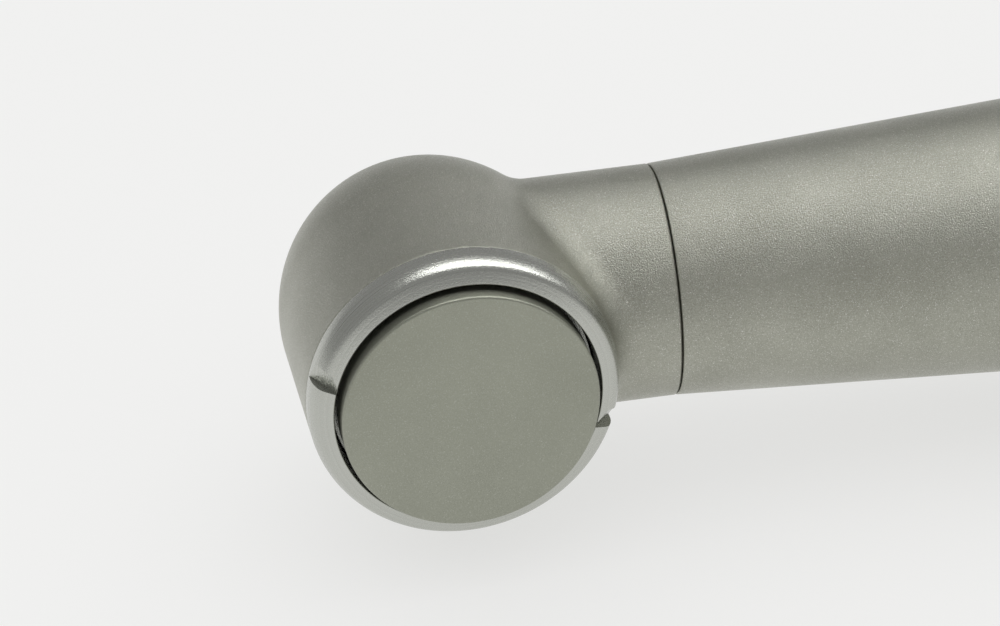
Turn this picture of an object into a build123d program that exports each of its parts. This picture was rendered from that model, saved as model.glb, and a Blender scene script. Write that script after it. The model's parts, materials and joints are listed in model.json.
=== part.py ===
from build123d import *
import math
import os

os.makedirs("parts", exist_ok=True)

# High speed dental handpiece: an air turbine in a push button head, on a bent hollow handle.
#
# Frame: the origin is the middle of the bur chuck's mouth. +Y leaves the mouth along the bur,
# +X runs along the neck to the handle, and +Z is up, square to the plane in which the neck
# and the handle lie. Millimetres.
#
# A depth h is measured from the chuck's mouth towards the push button, so it is -Y.
# A station s is measured along the centre line of neck and handle, from the bur axis.

# ------------------------------------------------------------------ driving sizes: head

head_r = 6.10            # outside of the head
nose_h = 0.20            # nose face, just behind the chuck's mouth
ogive_h = 5.40           # depth at which the rounded nose becomes a straight cylinder
ogive_r = 7.25           # radius of the nose's curve
nose_round = 0.30
seam_h = 11.65           # joint between head and cap
head_wall = 0.63         # wall round the cap's thread
seam_edge = 0.04         # broken edge either side of each visible joint

# ------------------------------------------------------------------ driving sizes: cap and button

ring_wall_h = 12.03      # end of the cap's straight outer wall
shoulder_r = 1.40        # radius of the long curve after it
shoulder_turn = 30.0     # degrees by which that curve leans in
crest_r = 0.45           # radius of the tighter curve that follows
slope_turn = 68.0        # lean of the slope down to the button's gap
ring_width = 0.90        # head radius less the radius inside the ring
lip_flat = 0.06
notch_width = 0.80       # key slots across the ring
notch_rear_h = 11.80     # depth at which a slot's foot leaves the outer wall
notch_lip_deep = 0.10    # how deep its foot is at the inside of the ring
notch_rise = 0.30        # how far its floor climbs across its width
notch_wall_at = 0.28     # how far the upright wall stands off the diameter
notch_turn = -18.8       # degrees from +X towards +Z
cap_thread_h = 8.30      # front end of the cap's threaded skirt
web_h = 11.40            # front face of the web that guides the button
web_thick = 0.35
button_gap = 0.18        # between button and ring
button_h = 13.65         # outer face of the button
button_edge = 0.11
button_disc = 0.80
button_skirt = 0.50
button_skirt_h = 12.35
boss_r = 1.30
boss_h = 11.00           # end of the boss that pushes the plunger
boss_gap = 0.05
button_travel = 0.50
clip_r = 1.80
clip_thick = 0.22
clip_groove = 0.30
clip_gap = 0.05
clip_mouth = 1.50
button_wire_r = 0.16
button_coil_wide = 3.90
button_coil_narrow = 2.50
button_coil_turns = 2.0

# ------------------------------------------------------------------ driving sizes: turbine

race_bore_r = 1.5875     # 3.175 x 6.35 x 2.38 bearing
race_r = 3.175
race_wide = 2.38
ball_r = 0.50
ball_count = 7
ball_gap = 0.03
inner_land_r = 2.05
outer_land_r = 2.72
cage_gap = 0.07
cage_wide = 1.50
shield_thick = 0.12
shield_set_in = 0.08
front_bearing_h = 1.50
rear_bearing_h = 7.90
seat_gap = 0.01          # pieces that are pressed together
bearing_gap = 0.03       # outer race in its O-ring seat
washer_h = 1.30          # shoulder behind the nose wall
washer_thick = 0.18
nose_hole_r = 1.75
o_ring_groove = 0.58     # radial depth of the O-ring grooves round the bearings
o_ring_wide = 0.90
chamber_h = 4.10
chamber_wall = 1.50      # head radius less the turbine chamber's radius
ledge_h = 7.70           # shoulder that the bearing sleeve sits on
sleeve_wall = 0.70
ledge_wide = 0.45
sleeve_lip = 0.22
tip_gap = 0.30           # blade tips to chamber
hub_r = 2.45
hub_collar_r = 1.95
blade_count = 9
blade_thick = 0.38
blade_sweep = 0.75
blade_end_gap = 0.35

shank_r = 0.80           # bur shank
spindle_end_h = 10.30
collet_h = 2.40
collet_r = 1.15
collet_long = 5.00
collet_slit = 0.20
collet_slit_long = 3.60
plunger_h = 10.90        # end that the button's boss pushes
plunger_gap = 0.06
plunger_head = 1.60
plunger_pin_r = 0.45
plunger_pin_h = 7.60
chuck_wire_r = 0.11
chuck_coil_turns = 4.0

# ------------------------------------------------------------------ driving sizes: spray

spray_in_r = 2.15
spray_out_r = 3.35
spray_thick = 0.40
spray_chamber_h = 0.85
spray_port_r = 0.15
spray_port_count = 4
feed_r = 0.20

# ------------------------------------------------------------------ driving sizes: neck and handle

neck_h = 5.32            # depth at which the neck's axis crosses the bur axis
neck_tilt = 4.0          # degrees past square, towards the button
neck_r = 4.72
neck_seam_s = 9.40       # joint between neck and handle
neck_fillet = 1.50
seam_gap = 0.05
taper = 0.058            # growth in radius per mm of length
handle_wall = 0.80
bend_start_s = 28.0
bend_angle = 18.0
bend_r = 66.0
grip_r = 8.20
grip_end_s = 105.0
tail_r = 7.40
handle_end_s = 118.0
spigot_wall = 0.60       # handle wall over the spigot
spigot_end_s = 17.0
spigot_gap = 0.03
neck_groove_s = 12.0
neck_groove_wide = 0.90
neck_groove_deep = 0.64

# ------------------------------------------------------------------ driving sizes: pipes and connector

passage_aside = -0.30    # drive air and exhaust sit this far towards the nose's side
drive_rim = 0.49         # spigot wall outside each pipe or passage
exhaust_rim = 0.89
small_rim = 0.89
small_spread = 1.10      # half the distance between water and chip air
drive_r = 1.20
drive_bore_r = 0.90
small_r = 0.60
small_bore_r = 0.40
exhaust_bore_r = 1.30
exhaust_r = 1.60
pipe_gap = 0.02
pipe_seat = 3.0          # length of pipe held in a socket
spacer_s = 80.0
spacer_thick = 3.0
spacer_gap = 0.05
spacer_window_r = 1.65
spacer_rim = 1.60
connector_s = 102.0
connector_r = 6.30
connector_gap = 0.05
thread_step = 0.80       # shoulder behind the thread, which the lock ring bears on
thread_long = 8.80
thread_chamfer = 0.40
lock_ring_seat = 0.80
lock_ring_long = 2.60
lock_ring_under = 0.05   # the ring stands this far inside the handle's end
hose_thread_step = 0.25  # the hose's thread is smaller than the one under the lock ring
thread_relief_long = 0.40
thread_relief_deep = 0.25
nipple_out = 2.50
nipple_seat = 3.0
nipple_bead = 0.20       # an air stub swells by this where the hose grips it
small_bead = 0.18        # a water or chip air stub swells by this
nipple_neck = 0.30
exhaust_out_rim = 0.75
exhaust_out_angle = -118.0   # degrees about the handle's axis
seal_wire_r = 0.50
seal_first_s = 106.0
seal_pitch = 4.0

# ------------------------------------------------------------------ sizes that follow

nose_r = head_r - ogive_r + math.sqrt(ogive_r**2 - (ogive_h - nose_h) ** 2)
lip_r = head_r - ring_width
shoulder_centre_r = head_r - shoulder_r
crest_centre_r = shoulder_centre_r + (shoulder_r - crest_r) * math.cos(math.radians(shoulder_turn))
crest_centre_h = ring_wall_h + (shoulder_r - crest_r) * math.sin(math.radians(shoulder_turn))
slope_r = crest_centre_r + crest_r * math.cos(math.radians(slope_turn))
slope_h = crest_centre_h + crest_r * math.sin(math.radians(slope_turn))
lip_h = slope_h + (slope_r - lip_r - lip_flat) / math.tan(math.radians(slope_turn))
button_r = lip_r - button_gap
thread_bore_r = head_r - head_wall
cap_thread_r = thread_bore_r - pipe_gap
chamber_r = head_r - chamber_wall
blade_tip_r = chamber_r - tip_gap
seat_r = race_r + bearing_gap
groove_r = seat_r + o_ring_groove
sleeve_r = groove_r + sleeve_wall
flange_bore_r = chamber_r + ledge_wide
web_rear_h = web_h + web_thick
front_bearing_end_h = front_bearing_h + race_wide
rear_bearing_end_h = rear_bearing_h + race_wide
pitch_r = (race_bore_r + race_r) / 2
spindle_r = race_bore_r - seat_gap
collet_bore_r = collet_r + seat_gap
plunger_r = collet_bore_r - plunger_gap
handle_front_s = neck_seam_s + seam_gap
spigot_bore_r = neck_r - spigot_wall
spigot_r = spigot_bore_r - spigot_gap
grip_start_s = neck_seam_s + (grip_r - neck_r) / taper
bend_end_s = bend_start_s + bend_r * math.radians(bend_angle)
connector_bore_r = connector_r + connector_gap
clamp_thread_r = connector_r - thread_step
thread_r = clamp_thread_r - hose_thread_step
thread_start_s = handle_end_s - lock_ring_seat
face_s = handle_end_s + thread_long - lock_ring_seat
nipple_end_s = face_s + nipple_out
pipe_front_s = spigot_end_s - pipe_seat
pipe_rear_s = connector_s + pipe_seat
lock_ring_end_s = handle_end_s + lock_ring_long

# Places across the handle: first towards the nose's side, then up.
drive_at = (passage_aside, spigot_r - drive_rim - drive_r)
exhaust_at = (passage_aside, exhaust_rim + exhaust_bore_r - spigot_r)
water_at = (spigot_r - small_rim - small_r, small_spread)
chip_at = (spigot_r - small_rim - small_r, -small_spread)
exhaust_out = thread_r - thread_chamfer - exhaust_out_rim - exhaust_r
exhaust_out_at = (
    exhaust_out * math.cos(math.radians(exhaust_out_angle)),
    exhaust_out * math.sin(math.radians(exhaust_out_angle)),
)

# ------------------------------------------------------------------ planes and centre line

head_plane = Plane(origin=(0, 0, 0), x_dir=(1, 0, 0), z_dir=(0, 0, -1))
neck_root = Vector(0, -neck_h, 0)


def cross_plane(h):
    """Plane across the bur axis at depth h: x along +X, y up, normal towards the button."""
    return Plane(origin=(0, -h, 0), x_dir=(1, 0, 0), z_dir=(0, -1, 0))


def station(s):
    """Plane across the handle at station s: x to the nose's side, y up, normal to the rear."""
    turned_by = min(max(s - bend_start_s, 0), bend_end_s - bend_start_s) / bend_r
    start = math.radians(neck_tilt)
    angle = start + turned_by
    along = Vector(math.cos(angle), -math.sin(angle), 0)
    aside = Vector(math.sin(angle), math.cos(angle), 0)
    first_along = Vector(math.cos(start), -math.sin(start), 0)
    first_aside = Vector(math.sin(start), math.cos(start), 0)
    before = neck_root + first_along * min(s, bend_start_s)
    round_bend = (aside - first_aside) * bend_r
    after = along * max(s - bend_end_s, 0)
    return Plane(origin=before + round_bend + after, x_dir=aside, z_dir=along)


def lengthways(s):
    """Plane along the straight stretch that holds station s: x is the station, y the radius."""
    here = station(s)
    return Plane(origin=here.origin - here.z_dir * s, x_dir=here.z_dir, z_dir=(0, 0, 1))


def handle_r(s):
    """Outside radius of the handle at station s, as far as the end of the grip."""
    return min(neck_r + taper * (s - neck_seam_s), grip_r)


neck_lengthways = lengthways(0)
rear_lengthways = lengthways(handle_end_s)
neck_axis = Axis(origin=neck_lengthways.origin, direction=neck_lengthways.x_dir)
rear_axis = Axis(origin=rear_lengthways.origin, direction=rear_lengthways.x_dir)

# ------------------------------------------------------------------ shapes that repeat


def turned(*corners):
    """Face with (radius, depth) corners, to revolve about the bur axis."""
    with BuildSketch(head_plane) as outline:
        with BuildLine():
            Polyline(*corners, close=True)
        make_face()
    return outline.sketch


def ring(inner_r, outer_r, front_h, rear_h):
    """Rectangular section of a ring about the bur axis."""
    corners = (inner_r, front_h), (outer_r, front_h), (outer_r, rear_h), (inner_r, rear_h)
    return turned(*corners)


def bend_bar(start_r, end_r):
    """Solid bar through the handle's bend, tapering evenly."""
    with BuildPart() as bar:
        with BuildLine():
            ThreePointArc(
                station(bend_start_s).origin,
                station((bend_start_s + bend_end_s) / 2).origin,
                station(bend_end_s).origin,
            )
        with BuildSketch(station(bend_start_s)):
            Circle(start_r)
        with BuildSketch(station(bend_end_s)):
            Circle(end_r)
        sweep(multisection=True)
    return bar.part


def pipe(place, outer_r, bore_r):
    """Pipe from its socket in the neck's spigot to its socket in the connector."""

    def point(s):
        return station(s).from_local_coords((place[0], place[1], 0))

    with BuildPart() as tube:
        with BuildLine():
            Line(point(pipe_front_s), point(bend_start_s))
            ThreePointArc(
                point(bend_start_s), point((bend_start_s + bend_end_s) / 2), point(bend_end_s)
            )
            Line(point(bend_end_s), point(pipe_rear_s))
        with BuildSketch(station(pipe_front_s)):
            with Locations(place):
                Circle(outer_r)
                Circle(bore_r, mode=Mode.SUBTRACT)
        sweep()
    return tube.part


def nipple(place, outer_r, bore_r, bead):
    """Stub that stands out of the connector's face, with a bead that the hose grips."""
    bead_s = face_s + nipple_neck
    with BuildPart() as stub:
        with BuildSketch(station(face_s - nipple_seat)):
            with Locations(place):
                Circle(outer_r)
        extrude(amount=nipple_seat + nipple_neck)
        with BuildSketch(station(bead_s)):
            with Locations(place):
                Circle(outer_r + bead)
        extrude(amount=nipple_end_s - bead_s)
        with BuildSketch(station(face_s - nipple_seat)):
            with Locations(place):
                Circle(bore_r)
        extrude(amount=nipple_seat + nipple_out, mode=Mode.SUBTRACT)
    return stub.part


# ------------------------------------------------------------------ head housing

with BuildPart() as head_housing:
    with BuildSketch(head_plane):
        with BuildLine():
            middle_h = (nose_h + ogive_h) / 2
            middle_r = head_r - ogive_r + math.sqrt(ogive_r**2 - (ogive_h - middle_h) ** 2)
            Line((0, nose_h), (nose_r, nose_h))
            ThreePointArc((nose_r, nose_h), (middle_r, middle_h), (head_r, ogive_h))
            Line((head_r, ogive_h), (head_r, seam_h))
            Line((head_r, seam_h), (0, seam_h))
            Line((0, seam_h), (0, nose_h))
        make_face()
    revolve(axis=Axis.Y)
    fillet(head_housing.edges().filter_by(GeomType.CIRCLE).sort_by(Axis.Y)[-1], nose_round)
    chamfer(head_housing.edges().filter_by(GeomType.CIRCLE).sort_by(Axis.Y)[0], seam_edge)

    # Neck, rounded into the head.
    with BuildSketch(station(0)):
        Circle(neck_r)
    extrude(amount=neck_seam_s)
    fillet(head_housing.edges(Select.NEW).filter_by(GeomType.CIRCLE, reverse=True), neck_fillet)
    chamfer(head_housing.edges().filter_by(GeomType.CIRCLE).sort_by(Axis.X)[-1], seam_edge)

    # Spigot that the handle slides on, with its O-ring groove.
    with BuildSketch(neck_lengthways):
        with BuildLine():
            Polyline(
                (neck_seam_s - 1, 0),
                (neck_seam_s - 1, spigot_r),
                (neck_groove_s, spigot_r),
                (neck_groove_s, spigot_r - neck_groove_deep),
                (neck_groove_s + neck_groove_wide, spigot_r - neck_groove_deep),
                (neck_groove_s + neck_groove_wide, spigot_r),
                (spigot_end_s, spigot_r),
                (spigot_end_s, 0),
                close=True,
            )
        make_face()
    revolve(axis=neck_axis)

    # Turbine space, from the nose hole to the cap's thread.
    groove_h = front_bearing_h + (race_wide - o_ring_wide) / 2
    turbine_space = turned(
        (0, nose_h - 1),
        (nose_hole_r, nose_h - 1),
        (nose_hole_r, washer_h),
        (seat_r, washer_h),
        (seat_r, groove_h),
        (groove_r, groove_h),
        (groove_r, groove_h + o_ring_wide),
        (seat_r, groove_h + o_ring_wide),
        (seat_r, chamber_h),
        (chamber_r, chamber_h),
        (chamber_r, ledge_h),
        (flange_bore_r, ledge_h),
        (flange_bore_r, cap_thread_h),
        (thread_bore_r, cap_thread_h),
        (thread_bore_r, seam_h + 1),
        (0, seam_h + 1),
    )
    revolve(turbine_space, axis=Axis.Y, mode=Mode.SUBTRACT)
    spray_space = ring(spray_in_r, spray_out_r, nose_h - 1, spray_chamber_h)
    revolve(spray_space, axis=Axis.Y, mode=Mode.SUBTRACT)

    # Drive air and exhaust run along the neck into the turbine chamber.
    passage_long = spigot_end_s - chamber_r * 0.7
    for place, bore_r in ((drive_at, drive_bore_r), (exhaust_at, exhaust_bore_r)):
        with BuildSketch(station(spigot_end_s)):
            with Locations(place):
                Circle(bore_r)
        extrude(amount=-passage_long, mode=Mode.SUBTRACT)

    # Water and chip air run beside the bearing and turn down to the spray chamber.
    spray_line_end_s = groove_r + 1.3
    for place in (water_at, chip_at):
        with BuildSketch(station(spigot_end_s)):
            with Locations(place):
                Circle(small_bore_r)
        extrude(amount=spray_line_end_s - spigot_end_s, mode=Mode.SUBTRACT)
        line_end = station(spray_line_end_s + small_bore_r).from_local_coords((*place, 0))
        chamber_x = math.sqrt((spray_out_r - feed_r) ** 2 - place[1] ** 2)
        chamber_end = Vector(chamber_x, feed_r / 2 - spray_chamber_h, place[1])
        feed = line_end - chamber_end
        with BuildSketch(Plane(origin=chamber_end, z_dir=feed)):
            Circle(feed_r)
        extrude(amount=feed.length, mode=Mode.SUBTRACT)

    # Sockets for the three pipes.
    for place, outer_r in ((drive_at, drive_r), (water_at, small_r), (chip_at, small_r)):
        with BuildSketch(station(spigot_end_s)):
            with Locations(place):
                Circle(outer_r + pipe_gap)
        extrude(amount=-pipe_seat, mode=Mode.SUBTRACT)
head_housing.part.label = "head_housing"
export_step(head_housing.part, "parts/head_housing.step")

# Ring let into the nose: closes the spray chamber and holds the spray ports.
with BuildPart() as spray_ring:
    spray_ring_section = ring(
        spray_in_r + seat_gap, spray_out_r - seat_gap, nose_h, nose_h + spray_thick
    )
    revolve(spray_ring_section, axis=Axis.Y)
    with BuildSketch(cross_plane(nose_h)):
        with PolarLocations((spray_in_r + spray_out_r) / 2, spray_port_count, start_angle=45):
            Circle(spray_port_r)
    extrude(amount=spray_thick, mode=Mode.SUBTRACT)
spray_ring.part.label = "spray_ring"
export_step(spray_ring.part, "parts/spray_ring.step")

# ------------------------------------------------------------------ cap and push button

# Screwed cap: threaded skirt, web that guides the button, and the ring round the button.
with BuildPart() as head_cap:
    with BuildSketch(head_plane):
        with BuildLine():
            Polyline(
                (slope_r, slope_h),
                (lip_r + lip_flat, lip_h),
                (lip_r, lip_h - lip_flat),
                (lip_r, web_rear_h),
                (boss_r + boss_gap, web_rear_h),
                (boss_r + boss_gap, web_h),
                (sleeve_r + boss_gap, web_h),
                (sleeve_r + boss_gap, cap_thread_h),
                (cap_thread_r, cap_thread_h),
                (cap_thread_r, seam_h),
                (head_r - seam_edge, seam_h),
                (head_r, seam_h + seam_edge),
                (head_r, ring_wall_h),
            )
            CenterArc((shoulder_centre_r, ring_wall_h), shoulder_r, 0, shoulder_turn)
            CenterArc(
                (crest_centre_r, crest_centre_h), crest_r, shoulder_turn, slope_turn - shoulder_turn
            )
        make_face()
    revolve(axis=Axis.Y)
    # Two key slots, cut in one pass across the ring. Each has one upright wall for the cap spanner.
    # The foot of that wall is a straight chord under the ring's curve, and the floor climbs from it.
    for turn, way in ((notch_turn, 1), (notch_turn + 180, -1)):
        wall_at = -way * notch_wall_at
        edge_at = wall_at + way * notch_width
        across = Vector(math.cos(math.radians(turn)), 0, math.sin(math.radians(turn)))
        side = Vector(0, -1, 0).cross(across)
        inner_foot = across * lip_r + Vector(0, notch_lip_deep - lip_h, 0)
        outer_foot = across * head_r + Vector(0, -notch_rear_h, 0)
        foot = (outer_foot - inner_foot).normalized()
        with BuildSketch(Plane(origin=inner_foot - foot, x_dir=side, z_dir=foot)):
            with BuildLine():
                Polyline(
                    (wall_at, 0),
                    (wall_at, ring_width * 2),
                    (edge_at, ring_width * 2),
                    (edge_at, notch_rise),
                    close=True,
                )
            make_face()
        extrude(amount=ring_width * 4, mode=Mode.SUBTRACT)
head_cap.part.label = "head_cap"
export_step(head_cap.part, "parts/head_cap.step")

# Push button: a flat disc with a skirt, and a boss through the cap's web.
clip_front_h = web_h - clip_gap - clip_thick
clip_groove_r = boss_r - clip_groove
with BuildPart() as push_button:
    button_section = turned(
        (0, boss_h),
        (boss_r, boss_h),
        (boss_r, clip_front_h - seat_gap),
        (clip_groove_r, clip_front_h - seat_gap),
        (clip_groove_r, web_h - clip_gap + seat_gap),
        (boss_r, web_h - clip_gap + seat_gap),
        (boss_r, button_h - button_disc),
        (button_r - button_skirt, button_h - button_disc),
        (button_r - button_skirt, button_skirt_h),
        (button_r, button_skirt_h),
        (button_r, button_h),
        (0, button_h),
    )
    revolve(button_section, axis=Axis.Y)
    rim = push_button.edges().filter_by(GeomType.CIRCLE).group_by(Axis.Y)[0].sort_by(SortBy.LENGTH)
    fillet(rim[-1], button_edge)
push_button.part.label = "push_button"
export_step(push_button.part, "parts/push_button.step")

# Snap clip in the boss's groove, which keeps the button in the cap.
with BuildPart() as button_clip:
    with BuildSketch(cross_plane(clip_front_h)):
        Circle(clip_r)
        Circle(clip_groove_r + seat_gap, mode=Mode.SUBTRACT)
        with Locations((clip_r, 0)):
            Rectangle(2 * clip_r, clip_mouth, mode=Mode.SUBTRACT)
    extrude(amount=clip_thick)
button_clip.part.label = "button_clip"
export_step(button_clip.part, "parts/button_clip.step")

# Conical coil between the web and the button's disc: its turns nest when it is pressed.
coil_rise = button_h - button_disc - web_rear_h - 2 * button_wire_r - 2 * seat_gap
coil_angle = math.degrees(math.atan2(button_coil_wide - button_coil_narrow, coil_rise))
with BuildPart() as button_spring:
    with BuildLine() as button_coil:
        Helix(
            pitch=coil_rise / button_coil_turns,
            height=coil_rise,
            radius=button_coil_wide,
            center=(0, -(web_rear_h + button_wire_r + seat_gap), 0),
            direction=(0, -1, 0),
            cone_angle=-coil_angle,
        )
    with BuildSketch(Plane(origin=button_coil.line @ 0, z_dir=button_coil.line % 0)):
        Circle(button_wire_r)
    sweep(is_frenet=True)
button_spring.part.label = "button_spring"
export_step(button_spring.part, "parts/button_spring.step")

# ------------------------------------------------------------------ bearings


def bearing(name, front_h, shield_at_rear):
    """Write the five kinds of piece of one ball bearing whose front face is at depth front_h."""
    rear_h = front_h + race_wide
    middle_h = front_h + race_wide / 2
    groove_section_r = ball_r + ball_gap
    recess = shield_thick + shield_set_in + seat_gap
    shield_r = outer_land_r + (race_r - outer_land_r) / 2

    with BuildPart() as outer_race:
        revolve(ring(outer_land_r, race_r, front_h, rear_h), axis=Axis.Y)
        if shield_at_rear:
            shield_front_h = rear_h - shield_set_in - shield_thick
            recess_section = ring(0, shield_r + seat_gap, rear_h - recess, rear_h)
        else:
            shield_front_h = front_h + shield_set_in
            recess_section = ring(0, shield_r + seat_gap, front_h, front_h + recess)
        revolve(recess_section, axis=Axis.Y, mode=Mode.SUBTRACT)
        with BuildSketch(head_plane):
            with Locations((pitch_r, middle_h)):
                Circle(groove_section_r)
        revolve(axis=Axis.Y, mode=Mode.SUBTRACT)
    outer_race.part.label = f"{name}_outer_race"
    export_step(outer_race.part, f"parts/{name}_outer_race.step")

    with BuildPart() as inner_race:
        revolve(ring(race_bore_r, inner_land_r, front_h, rear_h), axis=Axis.Y)
        with BuildSketch(head_plane):
            with Locations((pitch_r, middle_h)):
                Circle(groove_section_r)
        revolve(axis=Axis.Y, mode=Mode.SUBTRACT)
    inner_race.part.label = f"{name}_inner_race"
    export_step(inner_race.part, f"parts/{name}_inner_race.step")

    with BuildPart(cross_plane(middle_h)) as balls:
        with PolarLocations(pitch_r, ball_count, start_angle=180 / ball_count):
            Sphere(ball_r)
    balls.part.label = f"{name}_balls"
    export_step(balls.part, f"parts/{name}_balls.step")

    with BuildPart(cross_plane(middle_h)) as cage:
        cage_section = ring(
            inner_land_r + cage_gap,
            outer_land_r - cage_gap,
            middle_h - cage_wide / 2,
            middle_h + cage_wide / 2,
        )
        revolve(cage_section, axis=Axis.Y)
        # Round windows bored square to the bearing's axis, one for each ball.
        with PolarLocations(pitch_r, ball_count, start_angle=180 / ball_count):
            Cylinder(ball_r + ball_gap, 2 * ball_r, rotation=(0, 90, 0), mode=Mode.SUBTRACT)
    cage.part.label = f"{name}_cage"
    export_step(cage.part, f"parts/{name}_cage.step")

    with BuildPart() as shield:
        shield_section = ring(
            inner_land_r + cage_gap, shield_r, shield_front_h, shield_front_h + shield_thick
        )
        revolve(shield_section, axis=Axis.Y)
    shield.part.label = f"{name}_shield"
    export_step(shield.part, f"parts/{name}_shield.step")


bearing("front", front_bearing_h, shield_at_rear=True)
bearing("rear", rear_bearing_h, shield_at_rear=False)

# O-rings that float the two bearings, and the neck's seal, are plain tori.
for name, middle_h in (
    ("front_o_ring", front_bearing_h + race_wide / 2),
    ("rear_o_ring", rear_bearing_h + race_wide / 2),
):
    o_ring_r = (groove_r - race_r) / 2 - seat_gap
    with BuildPart() as o_ring:
        with BuildSketch(head_plane):
            with Locations(((groove_r + race_r) / 2, middle_h)):
                Circle(o_ring_r)
        revolve(axis=Axis.Y)
    o_ring.part.label = name
    export_step(o_ring.part, f"parts/{name}.step")

with BuildPart() as preload_washer:
    washer_front_h = front_bearing_h - washer_thick - seat_gap
    washer_section = ring(outer_land_r, race_r - seat_gap, washer_front_h, washer_front_h + washer_thick)
    revolve(washer_section, axis=Axis.Y)
preload_washer.part.label = "preload_washer"
export_step(preload_washer.part, "parts/preload_washer.step")

# Sleeve that carries the rear bearing; the cap's skirt clamps its flange on the ledge.
with BuildPart() as bearing_sleeve:
    rear_groove_h = rear_bearing_h + (race_wide - o_ring_wide) / 2
    sleeve_section = turned(
        (seat_r, ledge_h),
        (flange_bore_r - pipe_gap, ledge_h),
        (flange_bore_r - pipe_gap, cap_thread_h),
        (sleeve_r, cap_thread_h),
        (sleeve_r, rear_bearing_end_h + sleeve_lip),
        (outer_land_r, rear_bearing_end_h + sleeve_lip),
        (outer_land_r, rear_bearing_end_h),
        (seat_r, rear_bearing_end_h),
        (seat_r, rear_groove_h + o_ring_wide),
        (groove_r, rear_groove_h + o_ring_wide),
        (groove_r, rear_groove_h),
        (seat_r, rear_groove_h),
    )
    revolve(sleeve_section, axis=Axis.Y)
bearing_sleeve.part.label = "bearing_sleeve"
export_step(bearing_sleeve.part, "parts/bearing_sleeve.step")

# ------------------------------------------------------------------ rotor

# Hollow spindle: guides the shank at its mouth and holds the collet behind it.
with BuildPart() as spindle:
    spindle_section = turned(
        (shank_r, 0),
        (spindle_r, 0),
        (spindle_r, spindle_end_h),
        (collet_bore_r, spindle_end_h),
        (collet_bore_r, collet_h),
        (shank_r, collet_h),
    )
    revolve(spindle_section, axis=Axis.Y)
spindle.part.label = "spindle"
export_step(spindle.part, "parts/spindle.step")

# Turbine wheel: swept blades on a hub whose collars space the two bearings.
with BuildSketch() as blade:
    with BuildLine():
        root_x = hub_r - blade_thick
        tip_x = math.sqrt(blade_tip_r**2 - (blade_sweep + blade_thick) ** 2)
        middle_x = (root_x + tip_x) / 2
        bow = blade_sweep / 4
        ThreePointArc((root_x, 0), (middle_x, bow), (tip_x, blade_sweep))
        Line((tip_x, blade_sweep), (tip_x, blade_sweep + blade_thick))
        ThreePointArc(
            (tip_x, blade_sweep + blade_thick), (middle_x, bow + blade_thick), (root_x, blade_thick)
        )
        Line((root_x, blade_thick), (root_x, 0))
    make_face()
blade_front_h = chamber_h + blade_end_gap
blade_long = ledge_h - blade_end_gap - blade_front_h
with BuildPart() as impeller:
    revolve(ring(race_bore_r, hub_collar_r, front_bearing_end_h, rear_bearing_h), axis=Axis.Y)
    revolve(ring(race_bore_r, hub_r, blade_front_h, blade_front_h + blade_long), axis=Axis.Y)
    with BuildSketch(cross_plane(blade_front_h)):
        with PolarLocations(0, blade_count):
            add(blade.sketch)
    extrude(amount=blade_long)
impeller.part.label = "impeller"
export_step(impeller.part, "parts/impeller.step")

# Collet: a sleeve slit into three fingers that grip the shank.
with BuildPart() as chuck:
    revolve(ring(shank_r, collet_r, collet_h, collet_h + collet_long), axis=Axis.Y)
    with BuildSketch(cross_plane(collet_h)):
        with PolarLocations(collet_r, 3):
            Rectangle(2 * collet_r, collet_slit)
    extrude(amount=collet_slit_long, mode=Mode.SUBTRACT)
chuck.part.label = "chuck"
export_step(chuck.part, "parts/chuck.step")

# Plunger: the button pushes it, and its pin opens the chuck.
plunger_head_h = plunger_h - plunger_head
with BuildPart() as release_plunger:
    plunger_section = turned(
        (0, plunger_pin_h),
        (plunger_pin_r, plunger_pin_h),
        (plunger_pin_r, plunger_head_h),
        (plunger_r, plunger_head_h),
        (plunger_r, plunger_h),
        (0, plunger_h),
    )
    revolve(plunger_section, axis=Axis.Y)
release_plunger.part.label = "release_plunger"
export_step(release_plunger.part, "parts/release_plunger.step")

chuck_coil_h = collet_h + collet_long + chuck_wire_r + seat_gap
chuck_coil_rise = plunger_head_h - chuck_wire_r - seat_gap - chuck_coil_h
with BuildPart() as chuck_spring:
    with BuildLine() as chuck_coil:
        Helix(
            pitch=chuck_coil_rise / chuck_coil_turns,
            height=chuck_coil_rise,
            radius=(plunger_pin_r + collet_bore_r) / 2,
            center=(0, -chuck_coil_h, 0),
            direction=(0, -1, 0),
        )
    with BuildSketch(Plane(origin=chuck_coil.line @ 0, z_dir=chuck_coil.line % 0)):
        Circle(chuck_wire_r)
    sweep(is_frenet=True)
chuck_spring.part.label = "chuck_spring"
export_step(chuck_spring.part, "parts/chuck_spring.step")

# ------------------------------------------------------------------ handle

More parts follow.
